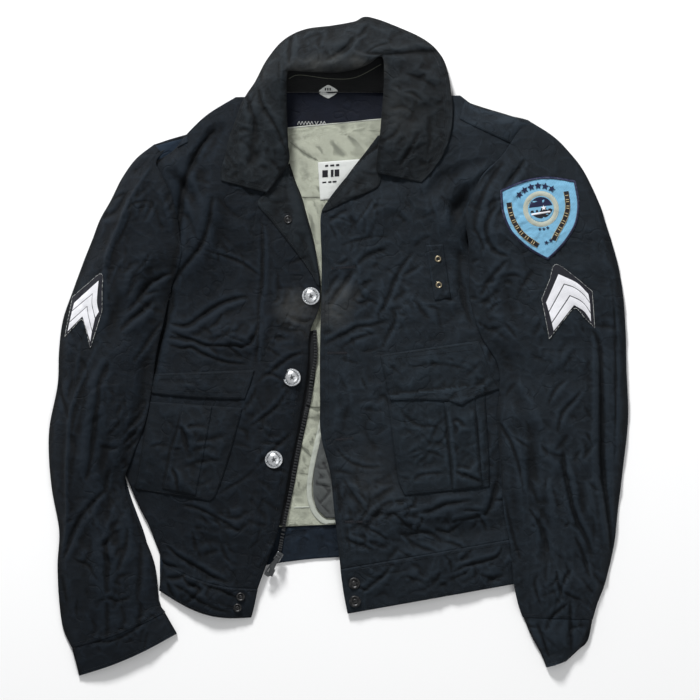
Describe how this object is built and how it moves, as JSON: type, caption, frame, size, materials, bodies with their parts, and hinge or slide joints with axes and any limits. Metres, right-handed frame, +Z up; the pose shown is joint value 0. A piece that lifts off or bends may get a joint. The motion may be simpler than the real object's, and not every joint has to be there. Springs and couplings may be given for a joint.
{
  "type": "police uniform jacket",
  "caption": "Waist-length police uniform jacket laid open on its back, with turned collar, patch pockets, sleeves, sleeve patches, zip and metal buttons.",
  "frame": {"origin": "middle of the jacket's outline, on the surface it lies on", "axes": "+Y from hem to collar, +X to the wearer's left, +Z up from the surface"},
  "size_m": [0.734, 0.8355, 0.033],
  "materials": {
    "shell": "matte worn weave",
    "inner_navy": "matte weave",
    "lining": "quilted satin",
    "grey_liner": "quilted matte",
    "pale_tape": "ribbed",
    "plush": "pile",
    "label": "satin",
    "patch_blue": "embroidered",
    "patch_white": "embroidered",
    "silver": "worn bright",
    "black_snap": "gloss",
    "brass": "satin",
    "zip_tape": "woven tape"
  },
  "bodies": {
    "jacket": {"back_panel": "shell", "front_right": "shell", "front_left": "shell", "lapel_right": "shell", "lapel_left": "shell", "waistband_right": "shell", "waistband_left": "shell", "collar": "shell", "sleeve_right": "shell", "sleeve_left": "shell", "under_sleeve_right": "shell", "under_sleeve_left": "shell", "cuff_right": "shell", "cuff_left": "shell", "pocket_right": "shell", "pocket_left": "shell", "pocket_pleat_right": "shell", "pocket_pleat_left": "shell", "pocket_flap_right": "shell", "pocket_flap_left": "shell", "badge_tab": "shell", "shoulder_strap_right": "shell", "shoulder_strap_left": "shell", "back_waistband": "inner_navy", "neck_yoke": "inner_navy", "back_lining": "lining", "front_liner": "grey_liner", "liner_binding": "pale_tape", "collar_stand": "plush", "neck_label": "label", "size_label": "label", "shield_patch": "patch_blue", "chevron_left": "patch_white", "chevron_right": "patch_white", "button_1": "silver", "button_2": "silver", "button_3": "silver", "zip_slider": "silver", "zip_box": "silver", "neck_snap": "black_snap", "waist_snap_left_1": "black_snap", "waist_snap_left_2": "black_snap", "waist_snap_right_1": "black_snap", "waist_snap_right_2": "black_snap", "eyelet_1": "brass", "eyelet_2": "brass", "zip_tape": "zip_tape"},
    "zip_pull": {"zip_pull": "silver"}
  },
  "joints": [
    {"name": "zip_pull_swing", "type": "hinge", "parent": "jacket", "child": "zip_pull", "pos_m": [-0.076, -0.266, 0.0161], "axis": [-0.8412, 0.5408, 0], "range_deg": [0, 165]}
  ]
}
